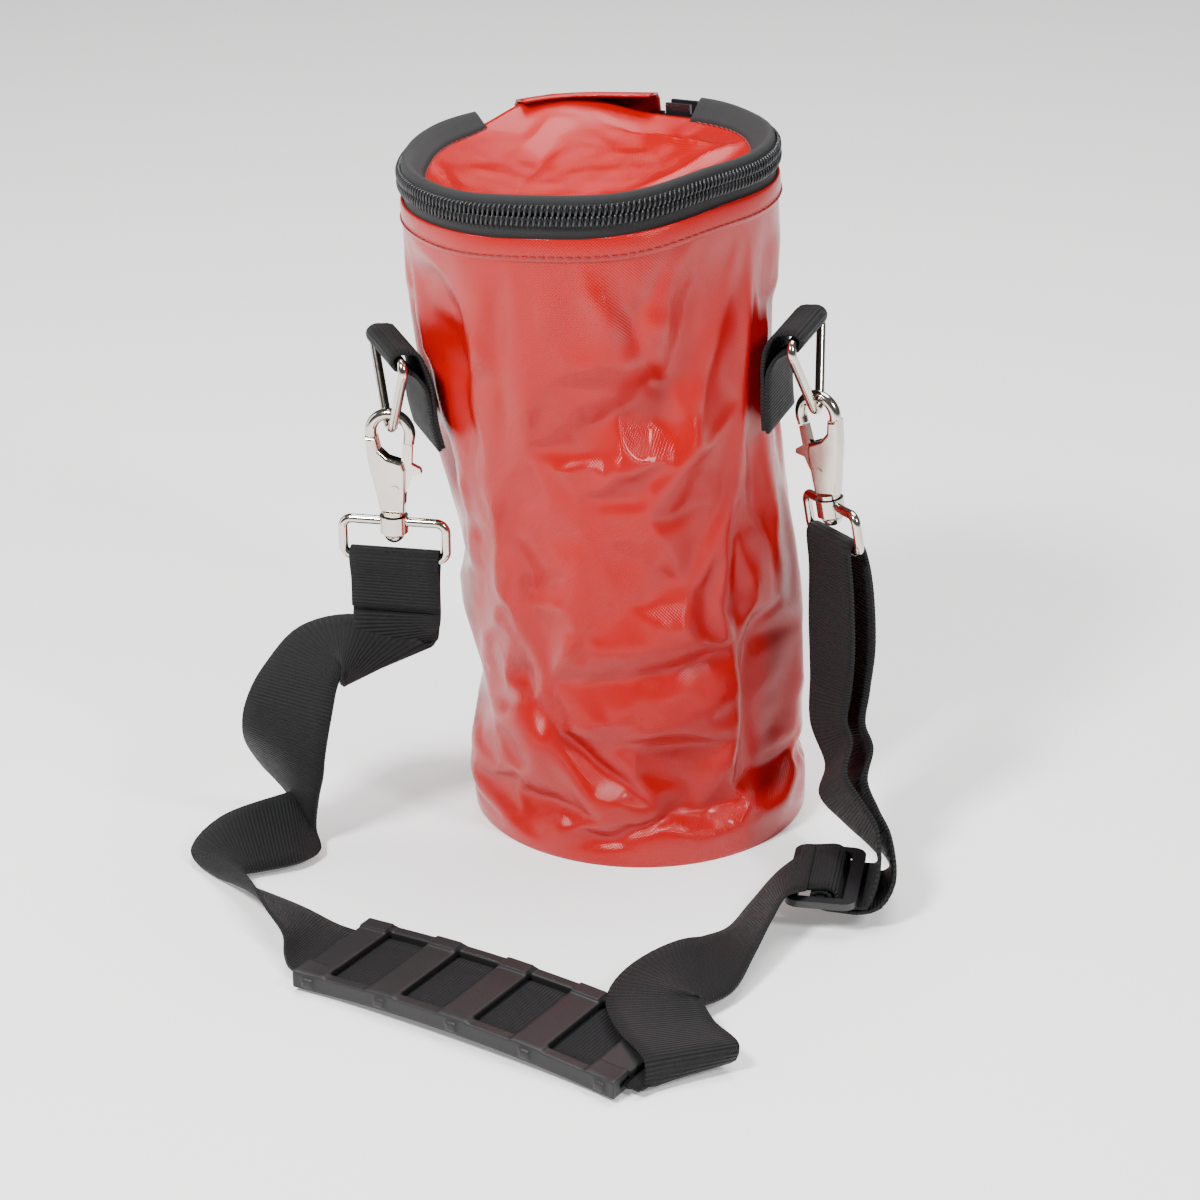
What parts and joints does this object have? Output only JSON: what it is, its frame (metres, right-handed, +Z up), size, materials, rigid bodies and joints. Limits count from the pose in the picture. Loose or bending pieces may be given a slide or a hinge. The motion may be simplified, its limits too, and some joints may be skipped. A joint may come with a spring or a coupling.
{
  "type": "rope storage bag",
  "caption": "Slack cylindrical coated-fabric rope bag with a zipped round lid, side rings, swivel snap hooks and a padded shoulder strap lying in front.",
  "frame": {"origin": "centre of the base panel's underside, on the ground", "axes": "+Z up the bag from the ground; +X to the right when the padded strap lies in front; -Y towards the strap"},
  "size_m": [0.2993, 0.3302, 0.3036],
  "materials": {
    "red_pvc": "glossy PVC-coated polyester, fine woven scrim showing through",
    "zip_tape": "black woven polyester zip tape",
    "zip_coil": "black nylon coil, satin",
    "zip_metal": "black enamelled zinc",
    "webbing": "black ribbed polypropylene webbing",
    "nickel": "bright nickel-plated zinc, slightly warm",
    "spring_steel": "plain spring wire",
    "pad_rubber": "black moulded rubber, satin",
    "black_plastic": "black moulded nylon"
  },
  "bodies": {
    "bag": {"bag_wall": "red_pvc", "base_panel": "red_pvc", "lid_hinge_strip": "red_pvc", "zip_tape_lower": "zip_tape", "zip_coil_lower": "zip_coil", "zip_stop_start": "zip_metal", "zip_stop_end": "zip_metal", "ring_tab_left": "webbing", "ring_tab_right": "webbing"},
    "lid": {"lid_panel": "red_pvc", "zip_tape_upper": "zip_tape", "zip_coil_upper": "zip_coil"},
    "slider": {"zip_slider": "zip_metal"},
    "pull": {"zip_pull": "zip_metal"},
    "ring_left": {"ring_left": "nickel"},
    "swivel_left": {"swivel_loop_left": "nickel"},
    "hook_left": {"hook_left": "nickel", "gate_pin_left": "nickel", "gate_spring_left": "spring_steel"},
    "gate_left": {"gate_left": "nickel"},
    "strap_left": {"shoulder_strap": "webbing"},
    "ring_right": {"ring_right": "nickel"},
    "swivel_right": {"swivel_loop_right": "nickel"},
    "hook_right": {"hook_right": "nickel", "gate_pin_right": "nickel", "gate_spring_right": "spring_steel"},
    "gate_right": {"gate_right": "nickel"},
    "strap_right": {"adjuster_strap": "webbing", "strap_adjuster": "black_plastic"},
    "pad": {"shoulder_pad": "pad_rubber"}
  },
  "joints": [
    {"name": "lid_hinge", "type": "hinge", "parent": "bag", "child": "lid", "pos_m": [-0.02257, 0.0699, 0.29328], "axis": [-0.9981, 0, -0.061], "range_deg": [0, 130]},
    {"name": "zip_travel", "type": "hinge", "parent": "bag", "child": "slider", "pos_m": [-0.02256, -0.008, 0.29318], "axis": [0.061, 0, -0.9981], "range_deg": [0, 298]},
    {"name": "zip_pull_hinge", "type": "hinge", "parent": "slider", "child": "pull", "pos_m": [0.02007, 0.06306, 0.29549], "axis": [0.8556, -0.515, 0.0523], "range_deg": [0, 100]},
    {"name": "ring_swing_left", "type": "hinge", "parent": "bag", "child": "ring_left", "pos_m": [-0.105, -0.036, 0.222], "axis": [-0.3256, 0.9455, 0], "range_deg": [0, 20]},
    {"name": "hook_hang_left", "type": "hinge", "parent": "ring_left", "child": "swivel_left", "pos_m": [-0.105, -0.036, 0.187], "axis": [-0.3256, 0.9455, 0], "range_deg": [-20, 0]},
    {"name": "swivel_turn_left", "type": "hinge", "parent": "swivel_left", "child": "hook_left", "pos_m": [-0.10451, -0.03609, 0.145], "axis": [0, 0, 1], "range_deg": [0, 30]},
    {"name": "gate_left", "type": "hinge", "parent": "hook_left", "child": "gate_left", "pos_m": [-0.10313, -0.03633, 0.1603], "axis": [-0.1736, -0.9848, 0], "range_deg": [0, 20], "stiffness_Nm_per_rad": 0.05, "springref_deg": -17.19},
    {"name": "strap_swing_left", "type": "hinge", "parent": "swivel_left", "child": "strap_left", "pos_m": [-0.10451, -0.03609, 0.1285], "axis": [-0.9848, 0.1736, 0], "range_deg": [0, 20]},
    {"name": "ring_swing_right", "type": "hinge", "parent": "bag", "child": "ring_right", "pos_m": [0.066, -0.0355, 0.23], "axis": [-0.3256, -0.9455, 0], "range_deg": [0, 20]},
    {"name": "hook_hang_right", "type": "hinge", "parent": "ring_right", "child": "swivel_right", "pos_m": [0.07175, -0.03748, 0.19553], "axis": [-0.3256, -0.9455, 0], "range_deg": [-20, 0]},
    {"name": "swivel_turn_right", "type": "hinge", "parent": "swivel_right", "child": "hook_right", "pos_m": [0.07824, -0.03957, 0.15409], "axis": [-0.1642, 0.0565, 0.9848], "range_deg": [-15, 20]},
    {"name": "gate_right", "type": "hinge", "parent": "hook_right", "child": "gate_right", "pos_m": [0.0746, -0.03791, 0.16892], "axis": [0.5696, 0.8205, 0.0479], "range_deg": [0, 20], "stiffness_Nm_per_rad": 0.05, "springref_deg": -17.19},
    {"name": "strap_swing_right", "type": "hinge", "parent": "swivel_right", "child": "strap_right", "pos_m": [0.08095, -0.0405, 0.13784], "axis": [0.3969, -0.9102, 0.1184], "range_deg": [0, 20]},
    {"name": "pad_slide", "type": "slide", "parent": "strap_left", "child": "pad", "axis": [0.8396, -0.5432, 0], "range_m": [-0.003, 0.003]}
  ],
  "couplings": [
    {"joint": "hook_hang_left", "follows": "ring_swing_left", "ratio": -1},
    {"joint": "hook_hang_right", "follows": "ring_swing_right", "ratio": -1}
  ]
}
